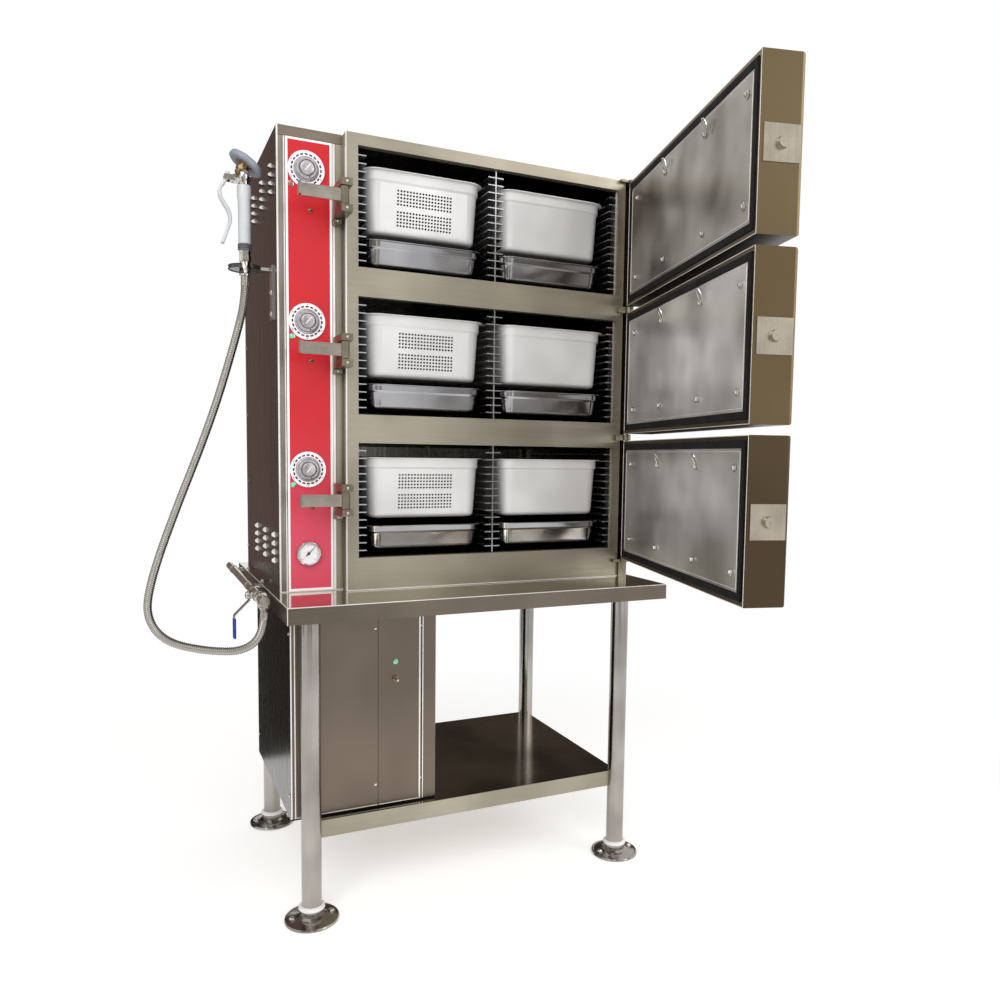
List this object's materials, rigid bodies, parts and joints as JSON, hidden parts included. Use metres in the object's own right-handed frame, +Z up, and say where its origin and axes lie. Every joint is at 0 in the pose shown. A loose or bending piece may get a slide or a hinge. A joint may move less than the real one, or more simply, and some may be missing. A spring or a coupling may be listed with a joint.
{
  "type": "steam cabinet",
  "caption": "Upright cabinet steamer on an open stand, with side-hinged doors over panned compartments, dial timers, a pressure gauge and a hose with a spray valve.",
  "frame": {"origin": "on the floor, midway between the four floor flanges", "axes": "+X to the user's right, +Y to the back, +Z up"},
  "size_m": [1.2964, 1.44, 1.8753],
  "materials": {
    "brushed_front": "brushed stainless, vertical grain",
    "brushed_dark": "brushed stainless, darker side sheets",
    "polished_top": "polished stainless sheet",
    "tube_steel": "polished stainless tube",
    "liner_steel": "dark stainless inside the compartments",
    "rack_steel": "polished stainless rods and strips",
    "pan_steel": "bright pressed stainless",
    "door_inner": "mirror-like stainless liner",
    "seal": "black silicone",
    "overlay_red": "printed overlay",
    "dial": "white dial with metal skirt",
    "cast_latch": "cast and ground stainless",
    "lamp": "lens over a metal bezel",
    "gauge_metal": "bright case",
    "needle": "black",
    "window": "clear",
    "module": "moulded",
    "boiler_steel": "welded steel vessel",
    "spray_chrome": "plated brass",
    "spray_grey": "moulded grey",
    "hook_dark": "dark coated hook",
    "hose_steel": "corrugated stainless tube",
    "pipe_steel": "stainless pipe",
    "valve_brass": "plated brass valve",
    "lever_sleeve": "blue dipped lever"
  },
  "bodies": {
    "cabinet": {"stand_top": "polished_top", "undershelf": "brushed_front", "base_front_cover": "brushed_front", "base_control_cover": "brushed_front", "front_frame": "brushed_front", "control_fascia": "brushed_front", "stand_legs": "tube_steel", "floor_flanges": "tube_steel", "base_casing": "brushed_dark", "cabinet_casing": "brushed_dark", "cabinet_left_panel": "brushed_dark", "spray_body": "spray_chrome", "boiler": "boiler_steel", "compartment_liners": "liner_steel", "side_racks": "rack_steel", "centre_racks": "rack_steel", "control_overlay": "overlay_red", "control_modules": "module", "indicator_lamps": "lamp", "gauge_case": "gauge_metal", "gauge_lens": "window", "latch_brackets": "cast_latch", "hinge_plates": "cast_latch", "hose_hook": "hook_dark", "spray_grip": "spray_grey", "spray_hose": "hose_steel", "supply_pipe": "pipe_steel", "valve_body": "valve_brass"},
    "base_switch": {"base_switch_lever": "spray_chrome"},
    "gauge_pointer": {"gauge_needle": "needle"},
    "spray_trigger": {"spray_lever": "spray_grey"},
    "shut_off_lever": {"valve_lever": "lever_sleeve"},
    "door_bottom": {"door_shell_bottom": "brushed_front", "door_gasket_bottom": "seal", "door_liner_bottom": "door_inner"},
    "handle_bottom": {"latch_handle_bottom": "cast_latch"},
    "timer_bottom": {"timer_knob_bottom": "dial"},
    "deep_pan_left_bottom_slide": {"deep_pan_left_bottom": "pan_steel"},
    "deep_pan_right_bottom_slide": {"deep_pan_right_bottom": "pan_steel"},
    "shallow_pan_left_bottom_slide": {"shallow_pan_left_bottom": "pan_steel"},
    "shallow_pan_right_bottom_slide": {"shallow_pan_right_bottom": "pan_steel"},
    "door_middle": {"door_shell_middle": "brushed_front", "door_gasket_middle": "seal", "door_liner_middle": "door_inner"},
    "handle_middle": {"latch_handle_middle": "cast_latch"},
    "timer_middle": {"timer_knob_middle": "dial"},
    "deep_pan_left_middle_slide": {"deep_pan_left_middle": "pan_steel"},
    "deep_pan_right_middle_slide": {"deep_pan_right_middle": "pan_steel"},
    "shallow_pan_left_middle_slide": {"shallow_pan_left_middle": "pan_steel"},
    "shallow_pan_right_middle_slide": {"shallow_pan_right_middle": "pan_steel"},
    "door_top": {"door_shell_top": "brushed_front", "door_gasket_top": "seal", "door_liner_top": "door_inner"},
    "handle_top": {"latch_handle_top": "cast_latch"},
    "timer_top": {"timer_knob_top": "dial"},
    "deep_pan_left_top_slide": {"deep_pan_left_top": "pan_steel"},
    "deep_pan_right_top_slide": {"deep_pan_right_top": "pan_steel"},
    "shallow_pan_left_top_slide": {"shallow_pan_left_top": "pan_steel"},
    "shallow_pan_right_top_slide": {"shallow_pan_right_top": "pan_steel"}
  },
  "joints": [
    {"name": "door_bottom_hinge", "type": "hinge", "parent": "cabinet", "child": "door_bottom", "pos_m": [0.433, -0.31, 1.0195], "axis": [0, 0, 1], "range_deg": [-75, 75]},
    {"name": "latch_bottom_pivot", "type": "hinge", "parent": "cabinet", "child": "handle_bottom", "pos_m": [-0.358, -0.35, 1.0235], "axis": [0, 0, 1], "range_deg": [0, 65]},
    {"name": "timer_bottom_turn", "type": "hinge", "parent": "cabinet", "child": "timer_bottom", "pos_m": [-0.4275, -0.265, 1.0935], "axis": [0, 1, 0], "range_deg": [0, 300]},
    {"name": "deep_pan_left_bottom_draw", "type": "slide", "parent": "cabinet", "child": "deep_pan_left_bottom_slide", "axis": [0, -1, 0], "range_m": [0, 0.45]},
    {"name": "deep_pan_right_bottom_draw", "type": "slide", "parent": "cabinet", "child": "deep_pan_right_bottom_slide", "axis": [0, -1, 0], "range_m": [0, 0.18]},
    {"name": "shallow_pan_left_bottom_draw", "type": "slide", "parent": "cabinet", "child": "shallow_pan_left_bottom_slide", "axis": [0, -1, 0], "range_m": [0, 0.45]},
    {"name": "shallow_pan_right_bottom_draw", "type": "slide", "parent": "cabinet", "child": "shallow_pan_right_bottom_slide", "axis": [0, -1, 0], "range_m": [0, 0.18]},
    {"name": "door_middle_hinge", "type": "hinge", "parent": "cabinet", "child": "door_middle", "pos_m": [0.433, -0.31, 1.3645], "axis": [0, 0, 1], "range_deg": [-75, 75]},
    {"name": "latch_middle_pivot", "type": "hinge", "parent": "cabinet", "child": "handle_middle", "pos_m": [-0.358, -0.35, 1.3685], "axis": [0, 0, 1], "range_deg": [0, 65]},
    {"name": "timer_middle_turn", "type": "hinge", "parent": "cabinet", "child": "timer_middle", "pos_m": [-0.4275, -0.265, 1.4385], "axis": [0, 1, 0], "range_deg": [0, 300]},
    {"name": "deep_pan_left_middle_draw", "type": "slide", "parent": "cabinet", "child": "deep_pan_left_middle_slide", "axis": [0, -1, 0], "range_m": [0, 0.45]},
    {"name": "deep_pan_right_middle_draw", "type": "slide", "parent": "cabinet", "child": "deep_pan_right_middle_slide", "axis": [0, -1, 0], "range_m": [0, 0.18]},
    {"name": "shallow_pan_left_middle_draw", "type": "slide", "parent": "cabinet", "child": "shallow_pan_left_middle_slide", "axis": [0, -1, 0], "range_m": [0, 0.45]},
    {"name": "shallow_pan_right_middle_draw", "type": "slide", "parent": "cabinet", "child": "shallow_pan_right_middle_slide", "axis": [0, -1, 0], "range_m": [0, 0.18]},
    {"name": "door_top_hinge", "type": "hinge", "parent": "cabinet", "child": "door_top", "pos_m": [0.433, -0.31, 1.7095], "axis": [0, 0, 1], "range_deg": [-75, 75]},
    {"name": "latch_top_pivot", "type": "hinge", "parent": "cabinet", "child": "handle_top", "pos_m": [-0.358, -0.35, 1.7135], "axis": [0, 0, 1], "range_deg": [0, 65]},
    {"name": "timer_top_turn", "type": "hinge", "parent": "cabinet", "child": "timer_top", "pos_m": [-0.4275, -0.265, 1.7835], "axis": [0, 1, 0], "range_deg": [0, 300]},
    {"name": "deep_pan_left_top_draw", "type": "slide", "parent": "cabinet", "child": "deep_pan_left_top_slide", "axis": [0, -1, 0], "range_m": [0, 0.45]},
    {"name": "deep_pan_right_top_draw", "type": "slide", "parent": "cabinet", "child": "deep_pan_right_top_slide", "axis": [0, -1, 0], "range_m": [0, 0.18]},
    {"name": "shallow_pan_left_top_draw", "type": "slide", "parent": "cabinet", "child": "shallow_pan_left_top_slide", "axis": [0, -1, 0], "range_m": [0, 0.45]},
    {"name": "shallow_pan_right_top_draw", "type": "slide", "parent": "cabinet", "child": "shallow_pan_right_top_slide", "axis": [0, -1, 0], "range_m": [0, 0.18]},
    {"name": "base_switch_toggle", "type": "hinge", "parent": "cabinet", "child": "base_switch", "pos_m": [-0.214, -0.2745, 0.568], "axis": [1, 0, 0], "range_deg": [-13, 13]},
    {"name": "gauge_pointer_turn", "type": "hinge", "parent": "cabinet", "child": "gauge_pointer", "pos_m": [-0.4275, -0.2695, 0.893], "axis": [0, 1, 0], "range_deg": [-180, 90]},
    {"name": "spray_trigger_squeeze", "type": "hinge", "parent": "cabinet", "child": "spray_trigger", "pos_m": [-0.593, -0.198, 1.76], "axis": [0, -1, 0], "range_deg": [0, 7], "stiffness_Nm_per_rad": 1.5, "springref_deg": -2.86},
    {"name": "shut_off_turn", "type": "hinge", "parent": "cabinet", "child": "shut_off_lever", "pos_m": [-0.559, -0.234, 0.795], "axis": [1, 0, 0], "range_deg": [0, 90]}
  ]
}
